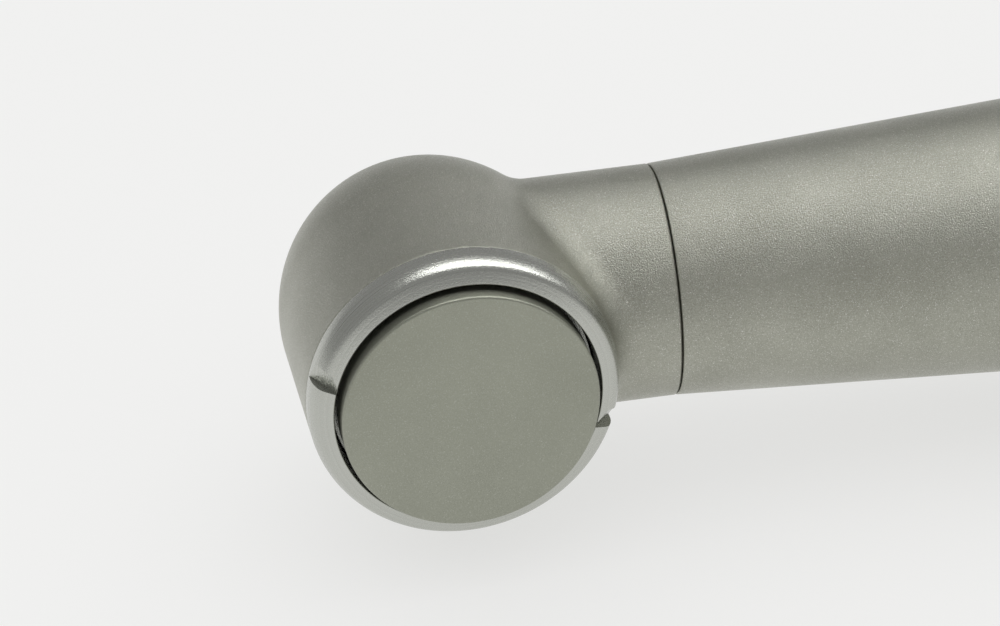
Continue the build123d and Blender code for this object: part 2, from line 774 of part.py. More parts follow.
with BuildPart() as handle_shell:
    # Straight cone from the neck seam to the bend.
    inner_step_s = spigot_end_s + seam_gap
    with BuildSketch(neck_lengthways):
        with BuildLine():
            Polyline(
                (handle_front_s, spigot_bore_r),
                (handle_front_s, handle_r(handle_front_s) - seam_edge),
                (handle_front_s + seam_edge, handle_r(handle_front_s + seam_edge)),
                (bend_start_s, handle_r(bend_start_s)),
                (bend_start_s, handle_r(bend_start_s) - handle_wall),
                (inner_step_s, handle_r(inner_step_s) - handle_wall),
                (inner_step_s, spigot_bore_r),
                close=True,
            )
        make_face()
    revolve(axis=neck_axis)

    # Tapering bend.
    add(bend_bar(handle_r(bend_start_s), handle_r(bend_end_s)))
    bend_inside = bend_bar(handle_r(bend_start_s) - handle_wall, handle_r(bend_end_s) - handle_wall)
    add(bend_inside, mode=Mode.SUBTRACT)

    # Cone, straight grip and tail, with the connector's seat inside the tail.
    with BuildSketch(rear_lengthways):
        with BuildLine():
            Polyline(
                (bend_end_s, handle_r(bend_end_s) - handle_wall),
                (bend_end_s, handle_r(bend_end_s)),
                (grip_start_s, grip_r),
                (grip_end_s, grip_r),
                (handle_end_s - seam_edge, tail_r),
                (handle_end_s, tail_r - seam_edge),
                (handle_end_s, connector_bore_r),
                (connector_s, connector_bore_r),
                (connector_s, grip_r - handle_wall),
                (grip_start_s, grip_r - handle_wall),
                close=True,
            )
        make_face()
    revolve(axis=rear_axis)
handle_shell.part.label = "handle_shell"
export_step(handle_shell.part, "parts/handle_shell.step")

with BuildPart() as neck_o_ring:
    neck_seal_r = (neck_groove_deep + spigot_gap) / 2 - seat_gap
    with BuildSketch(neck_lengthways):
        with Locations((neck_groove_s + neck_groove_wide / 2, spigot_bore_r - seat_gap - neck_seal_r)):
            Circle(neck_seal_r)
    revolve(axis=neck_axis)
neck_o_ring.part.label = "neck_o_ring"
export_step(neck_o_ring.part, "parts/neck_o_ring.step")

for name, place, outer_r, bore_r in (
    ("drive_air_pipe", drive_at, drive_r, drive_bore_r),
    ("water_pipe", water_at, small_r, small_bore_r),
    ("chip_air_pipe", chip_at, small_r, small_bore_r),
):
    with BuildPart() as inner_pipe:
        add(pipe(place, outer_r, bore_r))
    inner_pipe.part.label = name
    export_step(inner_pipe.part, f"parts/{name}.step")

# Disc that keeps the pipes apart in the grip; the exhaust air passes through its window.
spacer_r = handle_r(spacer_s) - handle_wall - spacer_gap
with BuildPart() as pipe_spacer:
    with BuildSketch(station(spacer_s)):
        Circle(spacer_r)
        for place, outer_r in ((drive_at, drive_r), (water_at, small_r), (chip_at, small_r)):
            with Locations(place):
                Circle(outer_r + pipe_gap, mode=Mode.SUBTRACT)
        with Locations((spacer_rim + spacer_window_r - spacer_r, 0)):
            Circle(spacer_window_r, mode=Mode.SUBTRACT)
    extrude(amount=spacer_thick)
pipe_spacer.part.label = "pipe_spacer"
export_step(pipe_spacer.part, "parts/pipe_spacer.step")

# ------------------------------------------------------------------ hose connector

seal_stations = [seal_first_s + i * seal_pitch for i in range(2)]
seal_groove_r = connector_bore_r - 2 * seal_wire_r - 2 * seat_gap
seal_groove_wide = 2 * seal_wire_r + 2 * pipe_gap
with BuildPart() as connector_body:
    with BuildSketch(rear_lengthways):
        with BuildLine():
            Polyline(
                (connector_s, 0),
                (connector_s, connector_r),
                (thread_start_s, connector_r),
                (thread_start_s, clamp_thread_r),
                (lock_ring_end_s, clamp_thread_r),
                (lock_ring_end_s, thread_r - thread_relief_deep),
                (lock_ring_end_s + thread_relief_long, thread_r - thread_relief_deep),
                (lock_ring_end_s + thread_relief_long, thread_r),
                (face_s - thread_chamfer, thread_r),
                (face_s, thread_r - thread_chamfer),
                (face_s, 0),
                close=True,
            )
        make_face()
        for s in seal_stations:
            with Locations((s, (seal_groove_r + connector_bore_r) / 2)):
                Rectangle(seal_groove_wide, connector_bore_r - seal_groove_r, mode=Mode.SUBTRACT)
    revolve(axis=rear_axis)
    # Passages right through, with sockets for the pipes in front and the stubs behind.
    passages = (
        (drive_at, drive_r, drive_bore_r),
        (exhaust_out_at, exhaust_r, exhaust_bore_r),
        (water_at, small_r, small_bore_r),
        (chip_at, small_r, small_bore_r),
    )
    for place, outer_r, bore_r in passages:
        with BuildSketch(station(connector_s)):
            with Locations(place):
                Circle(bore_r)
        extrude(amount=face_s - connector_s, mode=Mode.SUBTRACT)
        with BuildSketch(station(connector_s)):
            with Locations(place):
                Circle(outer_r + pipe_gap)
        extrude(amount=pipe_seat, mode=Mode.SUBTRACT)
        with BuildSketch(station(face_s)):
            with Locations(place):
                Circle(outer_r + pipe_gap)
        extrude(amount=-nipple_seat, mode=Mode.SUBTRACT)
connector_body.part.label = "connector_body"
export_step(connector_body.part, "parts/connector_body.step")

with BuildPart() as connector_o_rings:
    with BuildSketch(rear_lengthways):
        for s in seal_stations:
            with Locations((s, connector_bore_r - seat_gap - seal_wire_r)):
                Circle(seal_wire_r)
    revolve(axis=rear_axis)
connector_o_rings.part.label = "connector_o_rings"
export_step(connector_o_rings.part, "parts/connector_o_rings.step")

# Ring on the connector's thread that clamps it in the handle.
with BuildPart() as lock_ring:
    with BuildSketch(rear_lengthways):
        with BuildLine():
            lock_r = tail_r - lock_ring_under
            Polyline(
                (thread_start_s, clamp_thread_r + pipe_gap),
                (thread_start_s, connector_r),
                (handle_end_s, connector_r),
                (handle_end_s, lock_r - seam_edge),
                (handle_end_s + seam_edge, lock_r),
                (lock_ring_end_s - thread_chamfer, lock_r),
                (lock_ring_end_s, lock_r - thread_chamfer),
                (lock_ring_end_s, clamp_thread_r + pipe_gap),
                close=True,
            )
        make_face()
    revolve(axis=rear_axis)
lock_ring.part.label = "lock_ring"
export_step(lock_ring.part, "parts/lock_ring.step")

for name, place, outer_r, bore_r, bead in (
    ("drive_air_nipple", drive_at, drive_r, drive_bore_r, nipple_bead),
    ("exhaust_nipple", exhaust_out_at, exhaust_r, exhaust_bore_r, nipple_bead),
    ("water_nipple", water_at, small_r, small_bore_r, small_bead),
    ("chip_air_nipple", chip_at, small_r, small_bore_r, small_bead),
):
    with BuildPart() as hose_stub:
        add(nipple(place, outer_r, bore_r, bead))
    hose_stub.part.label = name
    export_step(hose_stub.part, f"parts/{name}.step")

# ------------------------------------------------------------------ report of the build

print("nose radius", round(nose_r, 3), "bend ends at", round(bend_end_s, 2))
print("connector face", station(face_s).origin, "axis", rear_lengthways.x_dir)
for name, place in (
    ("drive air", drive_at),
    ("exhaust", exhaust_out_at),
    ("water", water_at),
    ("chip air", chip_at),
):
    print(name, "stub ends at", station(nipple_end_s).from_local_coords((*place, 0)), place)
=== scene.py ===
# %% [markdown]
# # A high speed dental handpiece
#
# The real object is an air turbine in a small round head, on a bent hollow handle. Everything that
# a hand or a bur touches is turned metal, so nearly every piece here starts as a turner's outline
# that is spun about an axis. The CAD frame says where each piece goes and how it moves. This file
# gives the pieces their fine shape and their finish.

# %% Load the frame
import json
import math

import bmesh
import bpy
from mathutils import Matrix, Vector

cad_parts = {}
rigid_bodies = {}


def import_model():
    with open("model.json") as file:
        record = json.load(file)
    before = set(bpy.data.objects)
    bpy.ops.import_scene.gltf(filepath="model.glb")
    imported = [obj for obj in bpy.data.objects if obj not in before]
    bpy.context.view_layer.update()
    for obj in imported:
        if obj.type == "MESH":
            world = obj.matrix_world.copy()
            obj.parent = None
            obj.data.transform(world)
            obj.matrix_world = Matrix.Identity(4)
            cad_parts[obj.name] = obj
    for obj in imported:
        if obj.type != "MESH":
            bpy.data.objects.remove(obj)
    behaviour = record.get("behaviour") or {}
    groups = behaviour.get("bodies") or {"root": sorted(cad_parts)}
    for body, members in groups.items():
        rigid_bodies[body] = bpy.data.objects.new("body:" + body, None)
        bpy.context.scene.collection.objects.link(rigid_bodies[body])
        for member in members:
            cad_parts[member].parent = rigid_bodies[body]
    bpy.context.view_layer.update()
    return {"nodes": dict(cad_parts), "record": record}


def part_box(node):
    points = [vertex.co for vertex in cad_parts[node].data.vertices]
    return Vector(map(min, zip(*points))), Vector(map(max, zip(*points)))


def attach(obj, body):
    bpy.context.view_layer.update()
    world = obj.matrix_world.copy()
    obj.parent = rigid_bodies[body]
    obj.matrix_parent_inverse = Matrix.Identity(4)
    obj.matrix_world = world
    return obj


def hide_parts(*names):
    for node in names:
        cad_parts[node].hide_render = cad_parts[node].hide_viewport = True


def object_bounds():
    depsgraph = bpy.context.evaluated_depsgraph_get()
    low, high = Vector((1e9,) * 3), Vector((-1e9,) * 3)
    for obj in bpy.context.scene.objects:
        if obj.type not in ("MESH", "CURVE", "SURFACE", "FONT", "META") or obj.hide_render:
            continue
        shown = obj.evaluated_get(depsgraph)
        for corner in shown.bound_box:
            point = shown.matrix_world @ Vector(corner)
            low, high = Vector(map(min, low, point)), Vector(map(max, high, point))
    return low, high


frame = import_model()

# %% [markdown]
# Small turned parts are drawn in millimetres, so this file works in millimetres too and scales a
# piece to metres in its last step. The bur axis is the Y axis, and a depth is measured from the
# chuck's mouth towards the push button, which is -Y. Sizes that the frame's boxes hold are read
# from them. The others are the design's own sizes, named here as they are there.

# %% Read sizes from the frame
MM = 0.001


def on_bur_axis(node):
    """Radius, front depth and rear depth of a round node on the bur axis, in millimetres."""
    low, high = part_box(node)
    return (high.z - low.z) / 2 / MM, -high.y / MM, -low.y / MM


head_r, cap_thread_h, lip_h = on_bur_axis("head_cap")
button_r, boss_h, button_h = on_bur_axis("push_button")
grip_r = on_bur_axis("handle_shell")[0]
print("head radius", round(head_r, 3), "ring edge at", round(lip_h, 3))
print("button radius", round(button_r, 3), "face at", round(button_h, 3))
print("grip radius", round(grip_r, 3))

# %% [markdown]
# The neck leaves the head a little past square, runs straight, bends and runs straight again. A
# station is a distance along that line. Every piece in the handle is first made straight, on the
# same axis as the head's pieces, and then each point is carried to its station. That keeps one way
# of drawing for all turned pieces, and the bend costs one short function.

# %% The handle's centre line
neck_h = 5.32
neck_tilt = math.radians(4)
bend_start_s = 28.0
bend_angle = math.radians(18)
bend_r = 66.0
bend_end_s = bend_start_s + bend_r * bend_angle


def station(s):
    """Origin, direction along and direction aside of the handle at station s."""
    turned_by = min(max(s - bend_start_s, 0), bend_end_s - bend_start_s) / bend_r
    angle = neck_tilt + turned_by
    along = Vector((math.cos(angle), -math.sin(angle), 0))
    aside = Vector((math.sin(angle), math.cos(angle), 0))
    first_along = Vector((math.cos(neck_tilt), -math.sin(neck_tilt), 0))
    first_aside = Vector((math.sin(neck_tilt), math.cos(neck_tilt), 0))
    origin = Vector((0, -neck_h, 0)) + first_along * min(s, bend_start_s)
    origin += (aside - first_aside) * bend_r + along * max(s - bend_end_s, 0)
    return origin, along, aside


def into_handle(bm, place=(0, 0)):
    """Carry a shape made on the Y axis to its stations, set aside and up by place."""
    for vert in bm.verts:
        origin, _, aside = station(-vert.co.y)
        across = aside * (place[0] + vert.co.x)
        vert.co = origin + across + Vector((0, 0, place[1] + vert.co.z))


print("bend ends at station", round(bend_end_s, 2))

# %% [markdown]
# A turned piece is half of its section, spun. Real edges are never knife sharp, so each corner of
# an outline may carry a radius, and a short arc takes the corner's place.

# %% Draw an outline and spin it
SPIN_STEPS = 256
ARC_STEP = math.radians(12)


def outline(*corners):
    """Outline points from (radius, depth) or (radius, depth, rounding) corners of a closed section."""
    points = []
    for i, corner in enumerate(corners):
        here = Vector(corner[:2])
        rounding = corner[2] if len(corner) > 2 else 0
        if not rounding:
            points.append(here)
            continue
        back = (Vector(corners[i - 1][:2]) - here).normalized()
        ahead = (Vector(corners[(i + 1) % len(corners)][:2]) - here).normalized()
        half = back.angle(ahead) / 2
        centre = here + (back + ahead).normalized() * rounding / math.sin(half)
        start = here + back * rounding / math.tan(half) - centre
        turn = math.copysign(math.pi - 2 * half, back.cross(ahead))
        steps = max(2, math.ceil(abs(turn) / ARC_STEP))
        points += [centre + Matrix.Rotation(-turn * k / steps, 2) @ start for k in range(steps + 1)]
    return points


def arc(centre, radius, start, end, steps):
    """Points of an arc in the outline's plane. Angles are in radians, from the radius direction."""
    angles = [start + (end - start) * k / steps for k in range(steps + 1)]
    return [Vector(centre) + radius * Vector((math.cos(a), math.sin(a))) for a in angles]


def run(start, end, count):
    """Points from start up to, but without, end."""
    start, end = Vector(start), Vector(end)
    return [start.lerp(end, k / count) for k in range(count)]


def lathe(points, steps=SPIN_STEPS):
    """Closed shape made by spinning an outline about the Y axis."""
    bm = bmesh.new()
    verts = [bm.verts.new((point[0], -point[1], 0)) for point in points]
    edges = [bm.edges.new((verts[i - 1], verts[i])) for i in range(len(verts))]
    on_axis = [e for e in edges if max(abs(v.co.x) for v in e.verts) < 1e-9]
    for edge in on_axis:
        bm.edges.remove(edge)
        edges.remove(edge)
    bmesh.ops.spin(
        bm, geom=verts + edges, cent=(0, 0, 0), axis=(0, 1, 0),
        angle=2 * math.pi, steps=steps, use_merge=True,
    )
    bmesh.ops.remove_doubles(bm, verts=bm.verts, dist=1e-5)
    bmesh.ops.recalc_face_normals(bm, faces=bm.faces)
    return bm


# %% [markdown]
# Holes, slots and joined bodies use Blender's exact boolean. It works on objects, so each shape is
# made an object for as long as the cut takes. After a cut, points that fall together are welded, or
# the shading would show a crease there.

# %% Join and cut shapes
WELD = 0.002


def as_object(bm, name="tool"):
    mesh = bpy.data.meshes.new(name)
    bm.to_mesh(mesh)
    bm.free()
    result = bpy.data.objects.new(name, mesh)
    bpy.context.collection.objects.link(result)
    return result


def combined(bm, others, operation):
    """bm joined with, or cut by, each of the other shapes."""
    target = as_object(bm)
    tools = [as_object(other) for other in others]
    for tool in tools:
        boolean = target.modifiers.new("cut", "BOOLEAN")
        boolean.operation = operation
        boolean.solver = "EXACT"
        boolean.object = tool
    evaluated = target.evaluated_get(bpy.context.evaluated_depsgraph_get())
    result = bmesh.new()
    result.from_mesh(evaluated.to_mesh())
    evaluated.to_mesh_clear()
    for used in [target, *tools]:
        bpy.data.meshes.remove(used.data)
    bmesh.ops.remove_doubles(result, verts=result.verts, dist=WELD)
    bmesh.ops.dissolve_degenerate(result, edges=result.edges, dist=WELD / 10)
    return result


# %% [markdown]
# A finished shape is scaled to metres, shaded smooth except at real edges, named after the CAD node
# it stands for, which it hides, and made to move with that node's body. The weighted normals keep a
# flat face flat right up to its rounded edge.

# %% Finish a piece
node_slot = {part["node"]: part["material_slot"] for part in frame["record"]["subparts"]}
node_body = {}
for body, nodes in frame["record"]["behaviour"]["bodies"].items():
    for node in nodes:
        node_body[node] = body
SHARP = math.radians(32)


def finish(bm, node, name=None):
    """Turn a shape into the object that stands for a CAD node."""
    bmesh.ops.scale(bm, vec=(MM, MM, MM), verts=bm.verts)
    piece = as_object(bm, name or f"{node}_fine")
    piece.data.shade_smooth()
    piece.data.set_sharp_from_angle(angle=SHARP)
    even = piece.modifiers.new("even_shading", "WEIGHTED_NORMAL")
    even.mode = "FACE_AREA_WITH_ANGLE"
    even.keep_sharp = True
    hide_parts(node)
    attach(piece, node_body[node])
    print(piece.name, len(piece.data.polygons), "faces, on", node_body[node])
    return piece


# %% [markdown]
# The camera stands above the head and looks down on the button, as someone does who holds the
# handpiece up to see its cap. It is a long lens from close by, so lines along the handle still
# converge a little.

# %% Camera
seam_h = 11.65
camera_turn = math.radians(-10.05)
camera_tilt = math.radians(30.151)
camera_roll = math.radians(-4.198)
camera_distance = 123.471
camera_shift = Vector((1.468, 2.844))

look = Vector((
    -math.sin(camera_turn) * math.cos(camera_tilt),
    math.cos(camera_turn) * math.cos(camera_tilt),
    -math.sin(camera_tilt),
))
level = Vector((math.cos(camera_turn), math.sin(camera_turn), 0))
upright = level.cross(look)
right = level * math.cos(camera_roll) + upright * math.sin(camera_roll)
up = upright * math.cos(camera_roll) - level * math.sin(camera_roll)
aim = Vector((0, -seam_h, 0))
eye = aim - look * camera_distance + right * camera_shift.x + up * camera_shift.y

camera_data = bpy.data.cameras.new("camera")
camera_data.sensor_width = 36
camera_data.lens = 115.2
camera_data.clip_start = 0.005
camera = bpy.data.objects.new("camera", camera_data)
camera.matrix_world = Matrix.Translation(eye * MM) @ Matrix((right, up, -look)).transposed().to_4x4()
bpy.context.collection.objects.link(camera)
bpy.context.scene.camera = camera
print("camera at", [round(value, 4) for value in camera.location])

# %% [markdown]
# ## The head
#
# Head and neck are one turned and blasted body. The nose is a shallow ogive, and the neck runs into
# the head through a small rounding that a ball end mill would leave. A bevel on the line where two
# booleans meet would be uneven, so the rounding is built as a rolling ball makes it: for each angle
# round the neck, the ball's centre is where it touches both the neck and the head.

# %% Neck with its rounding
ogive_h = 5.40
ogive_r = 7.25
nose_h = 0.20
neck_r = 4.72
neck_seam_s = 9.40
neck_fillet = 1.50
seam_edge = 0.06
spigot_end_s = 17.0
spigot_bore_r = 4.12
spigot_r = 4.09
seal_groove_s = 12.0
seal_groove_wide = 0.90
seal_groove_deep = 0.64
ogive_centre = Vector((head_r - ogive_r, ogive_h))
nose_r = ogive_centre.x + math.sqrt(ogive_r**2 - (ogive_h - nose_h) ** 2)
FILLET_STEPS = 14
PROUD = 0.0004           # the rounding's last ring stands this far off the head's flat facets


def off_head(point):
    """Distance of a point outside the head, and the direction in which it grows."""
    radial = Vector((point.x, 0, point.z))
    reach, depth = radial.length, -point.y
    out = radial.normalized()
    if depth > ogive_h:
        return reach - head_r, out
    away = Vector((reach, depth)) - ogive_centre
    slope = away.normalized()
    return away.length - ogive_r, out * slope.x + Vector((0, -slope.y, 0))


def round_neck(angle, s, radius):
    """Point round the neck, and the direction outwards there."""
    origin, _, aside = station(s)
    out = aside * math.cos(angle) + Vector((0, 0, math.sin(angle)))
    return origin + out * radius, out


def rolling_ball(angle):
    """Centre of the ball that touches neck and head at this angle round the neck."""
    low_s, high_s = 1.0, 14.0
    for _ in range(40):
        s = (low_s + high_s) / 2
        centre, out = round_neck(angle, s, neck_r + neck_fillet)
        if off_head(centre)[0] < neck_fillet:
            low_s = s
        else:
            high_s = s
    return centre, out


def neck_point(angle, row):
    """Point of the neck's skin. Rows run from inside the head out to the spigot's end."""
    if row == 0:
        return round_neck(angle, 3.0, 3.0)[0]
    if row <= FILLET_STEPS + 2:
        centre, out = rolling_ball(angle)
        to_head = -off_head(centre)[1]
        on_head = centre + to_head * (neck_fillet - PROUD)
        if row == 1:
            return on_head + to_head * 0.25
        share = (row - 2) / FILLET_STEPS
        return centre + to_head.slerp(-out, share) * (neck_fillet - PROUD * (1 - share))
    s, radius = neck_rows[row - FILLET_STEPS - 3]
    return round_neck(angle, s, radius)[0]


neck_rows = [
    (neck_seam_s - seam_edge, neck_r),
    (neck_seam_s, neck_r - seam_edge),
    (neck_seam_s, spigot_r),
    (seal_groove_s, spigot_r),
    (seal_groove_s, spigot_r - seal_groove_deep),
    (seal_groove_s + seal_groove_wide, spigot_r - seal_groove_deep),
    (seal_groove_s + seal_groove_wide, spigot_r),
    (spigot_end_s - 0.2, spigot_r),
    (spigot_end_s, spigot_r - 0.2),
]
row_count = FILLET_STEPS + 3 + len(neck_rows)
skin = [Vector((1, row)) for row in range(row_count)]
neck_shape = lathe([Vector((0, 0)), *skin, Vector((0, row_count - 1))])
for vert in neck_shape.verts:
    row = round(-vert.co.y)
    if abs(vert.co.x) + abs(vert.co.z) > 0.5:
        vert.co = neck_point(math.atan2(vert.co.z, vert.co.x), row)
    else:
        vert.co = station(3.0 if row == 0 else spigot_end_s)[0]
print("neck has", row_count, "rings of", SPIN_STEPS, "points")

# %% [markdown]
# The head's inside is the turbine chamber with its bearing seats, the cap's thread and the passages
# for air and water. Little of it shows, but it is cut as the real one is, so that the piece has its
# true walls.

# %% Head housing
race_r = 3.175
race_wide = 2.38
front_bearing_h = 1.50
seat_r = race_r + 0.03
o_ring_wide = 0.90
groove_r = seat_r + 0.58
nose_hole_r = 1.75
washer_h = 1.30
chamber_h = 4.10
chamber_r = head_r - 1.50
ledge_h = 7.70
flange_bore_r = chamber_r + 0.45
thread_bore_r = head_r - 0.63
spray_in_r, spray_out_r = 2.15, 3.35
spray_chamber_h = 0.85
front_groove_h = front_bearing_h + (race_wide - o_ring_wide) / 2

ogive_start = math.asin((nose_h - ogive_h) / ogive_r)
ogive = arc(ogive_centre, ogive_r, ogive_start, 0, 28)
nose = outline((0, nose_h), (nose_r, nose_h, 0.30), ogive[4])[1:-1]
shoulder = outline((0, ogive_h), (head_r, ogive_h), (head_r, seam_h, seam_edge), (0, seam_h))[2:]
head_shape = lathe([Vector((0, nose_h)), *nose, *ogive[4:], *shoulder])
turbine_space = lathe(outline(
    (0, -1),
    (nose_hole_r, -1),
    (nose_hole_r, washer_h),
    (seat_r, washer_h),
    (seat_r, front_groove_h),
    (groove_r, front_groove_h),
    (groove_r, front_groove_h + o_ring_wide),
    (seat_r, front_groove_h + o_ring_wide),
    (seat_r, chamber_h),
    (chamber_r, chamber_h, 0.2),
    (chamber_r, ledge_h),
    (flange_bore_r, ledge_h),
    (flange_bore_r, cap_thread_h),
    (thread_bore_r, cap_thread_h),
    (thread_bore_r, seam_h + 1),
    (0, seam_h + 1),
))
spray_space = lathe(outline(
    (spray_in_r, -1), (spray_out_r, -1), (spray_out_r, spray_chamber_h), (spray_in_r, spray_chamber_h)
))


def rod(place, radius, start_s, end_s, steps=48):
    """Round rod along the handle between two stations."""
    count = max(1, round((end_s - start_s) / 1.5))
    side = run((radius, start_s), (radius, end_s), count)
    shape = lathe([Vector((0, start_s)), *side, Vector((radius, end_s)), Vector((0, end_s))], steps)
    into_handle(shape, place)
    return shape


drive_at, exhaust_at = (-0.30, 2.40), (-0.30, -1.90)
water_at, chip_at = (2.60, 1.10), (2.60, -1.10)
drive_r, drive_bore_r = 1.20, 0.90
small_r, small_bore_r = 0.60, 0.40
exhaust_r, exhaust_bore_r = 1.60, 1.30
pipe_gap = 0.02
pipe_seat = 3.0
passages = [
    rod(drive_at, drive_bore_r, chamber_r * 0.7, spigot_end_s + 1),
    rod(exhaust_at, exhaust_bore_r, chamber_r * 0.7, spigot_end_s + 1),
    rod(water_at, small_bore_r, groove_r + 1.3, spigot_end_s + 1),
    rod(chip_at, small_bore_r, groove_r + 1.3, spigot_end_s + 1),
    rod(drive_at, drive_r + pipe_gap, spigot_end_s - pipe_seat, spigot_end_s + 1),
    rod(water_at, small_r + pipe_gap, spigot_end_s - pipe_seat, spigot_end_s + 1),
    rod(chip_at, small_r + pipe_gap, spigot_end_s - pipe_seat, spigot_end_s + 1),
]
head_shape = combined(head_shape, [neck_shape], "UNION")
head_shape = combined(head_shape, [turbine_space, spray_space, *passages], "DIFFERENCE")
finish(head_shape, "head_housing")

# %% [markdown]
# ## Cap and push button
#
# The cap screws into the head. What shows of it is a smooth ring: a short straight wall, a long soft
# curve, a tighter one that catches the light as a bright line, and a slope down to the gap round the
# button. Two slots across the ring take a spanner. Each has one upright wall to push on and a floor
# that climbs from its foot to the ring's surface.

# %% Cap with its key slots
ring_wall_h = 12.03
ring_width = 0.90
shoulder_r, shoulder_turn = 1.40, math.radians(30)
crest_r, slope_turn = 0.45, math.radians(68)
lip_r = head_r - ring_width
lip_round = 0.05
web_h = 11.40
web_thick = 0.35
web_rear_h = web_h + web_thick
slide_gap = 0.05
small_round = 0.08
boss_r = 1.30
sleeve_wall = 0.70
sleeve_r = groove_r + sleeve_wall
cap_thread_r = thread_bore_r - pipe_gap

shoulder_centre = Vector((head_r - shoulder_r, ring_wall_h))
crest_centre = arc(shoulder_centre, shoulder_r - crest_r, shoulder_turn, shoulder_turn, 1)[0]
ring_curve = arc(shoulder_centre, shoulder_r, 0, shoulder_turn, 5)[1:]
ring_curve += arc(crest_centre, crest_r, shoulder_turn, slope_turn, 9)[1:]
cap_shape = lathe(outline(
    tuple(ring_curve[-1]),
    (lip_r + 0.02, lip_h, lip_round),
    (lip_r, web_rear_h, small_round),
    (boss_r + slide_gap, web_rear_h),
    (boss_r + slide_gap, web_h),
    (sleeve_r + slide_gap, web_h),
    (sleeve_r + slide_gap, cap_thread_h),
    (cap_thread_r, cap_thread_h, small_round),
    (cap_thread_r, seam_h),
    (head_r, seam_h, seam_edge),
    (head_r, ring_wall_h),
) + ring_curve[:-1])

notch_wide = 0.80
notch_rear_h = 11.80
notch_lip_deep = 0.10
notch_rise = 0.30
notch_wall_at = 0.28
notch_turn = math.radians(-18.8)
SLOT_CLEAR = 2           # how far the cutter stands over the ring


def slot_cutter(turn, way):
    """Prism whose lowest edge is a slot's foot: a chord under the ring's curve."""
    across = Vector((math.cos(turn), 0, math.sin(turn)))
    sideways = Vector((0, -1, 0)).cross(across)
    inner = across * lip_r + Vector((0, notch_lip_deep - lip_h, 0))
    outer = across * head_r + Vector((0, -notch_rear_h, 0))
    foot = (outer - inner).normalized()
    outwards = foot.cross(sideways)
    wall = -way * notch_wall_at
    edge = wall + way * notch_wide
    section = [(wall, 0), (wall, SLOT_CLEAR), (edge, SLOT_CLEAR), (edge, notch_rise)]
    bm = bmesh.new()
    ends = [
        [bm.verts.new(inner + foot * along + sideways * x + outwards * y) for x, y in section]
        for along in (-SLOT_CLEAR / 2, SLOT_CLEAR * 1.5)
    ]
    for corners in ends:
        bm.faces.new(corners)
    for k in range(len(section)):
        bm.faces.new((ends[0][k - 1], ends[0][k], ends[1][k], ends[1][k - 1]))
    bmesh.ops.recalc_face_normals(bm, faces=bm.faces)
    return bm


slots = [slot_cutter(notch_turn, 1), slot_cutter(notch_turn + math.pi, -1)]
finish(combined(cap_shape, slots, "DIFFERENCE"), "head_cap")

# %% [markdown]
# The button is a flat disc with a skirt. Its boss goes through the web of the cap, and a groove in
# the boss holds the snap clip.

# %% Push button
clip_thick = 0.22
clip_play = 0.01
clip_front_h = web_h - slide_gap - clip_thick
clip_groove_r = boss_r - 0.30
button_disc = 0.80
button_skirt = 0.50
skirt_h = 12.35
rim_round = 0.11
button_shape = lathe(outline(
    (0, boss_h),
    (boss_r, boss_h, small_round),
    (boss_r, clip_front_h - clip_play),
    (clip_groove_r, clip_front_h - clip_play),
    (clip_groove_r, web_h - slide_gap + clip_play),
    (boss_r, web_h - slide_gap + clip_play),
    (boss_r, button_h - button_disc),
    (button_r - button_skirt, button_h - button_disc),
    (button_r - button_skirt, skirt_h),
    (button_r, skirt_h, lip_round),
    (button_r, button_h, rim_round),
    (0, button_h),
))
finish(button_shape, "push_button")

# %% [markdown]
# ## The handle
#
# The sheath is a thin tube that widens evenly from the neck to the grip. The grip has a fine
# diamond knurl between two plain bands, so that it doesn't slip in a wet glove.

# %% Handle sheath
seam_gap = 0.05
taper = 0.058
handle_wall = 0.80
grip_start_s = neck_seam_s + (grip_r - neck_r) / taper
grip_end_s = 105.0
tail_r = 7.40
tail_round = 6.0
handle_end_s = 118.0
connector_s = 102.0
connector_r = 6.30
connector_bore_r = connector_r + 0.05
knurl_start_s, knurl_end_s = 75.0, 99.0
knurl_starts = 48
knurl_deep = 0.20
band_wide = 0.60
band_deep = 0.15
band_round = 0.05
band_before, band_after = 1.5, 0.9
knurl_fade = 0.8
knurl_flank = 1.35
HANDLE_STEPS = 288


def handle_r(s):
    return min(neck_r + taper * (s - neck_seam_s), grip_r)


def skin_r(s):
    return Vector((handle_r(s), s))


def wall_r(s):
    return Vector((handle_r(s) - handle_wall, s))


front_s = neck_seam_s + seam_gap
inner_step_s = spigot_end_s + seam_gap
knurl_pitch = 2 * math.pi * grip_r / knurl_starts
knurl_rows = round((knurl_end_s - knurl_start_s) / (knurl_pitch / 6))
handle_points = [
    Vector((spigot_bore_r, front_s)),
    *outline(
        (spigot_bore_r, front_s), (handle_r(front_s), front_s, seam_edge), skin_r(bend_start_s)
    )[1:-1],
    *run(skin_r(front_s + 1), skin_r(bend_start_s), 6),
    *run(skin_r(bend_start_s), skin_r(bend_end_s), 24),
    *run(skin_r(bend_end_s), skin_r(grip_start_s), 6),
]
for band_s in (knurl_start_s - band_before, knurl_end_s + band_after):
    band_end_s = band_s + band_wide
    band = outline(
        (grip_r, band_s - band_wide / 2),
        (grip_r, band_s, band_round),
        (grip_r - band_deep, band_s, band_round),
        (grip_r - band_deep, band_end_s, band_round),
        (grip_r, band_end_s, band_round),
        (grip_r, band_end_s + band_wide / 2),
    )
    handle_points += band
    if band_s < knurl_start_s:
        handle_points += run((grip_r, knurl_start_s), (grip_r, knurl_end_s), knurl_rows)
        handle_points.append(Vector((grip_r, knurl_end_s)))
tail = outline(
    (grip_r, grip_end_s - 1),
    (grip_r, grip_end_s, tail_round),
    (tail_r, handle_end_s, seam_edge),
    (connector_bore_r, handle_end_s),
)
handle_points += tail[1:]
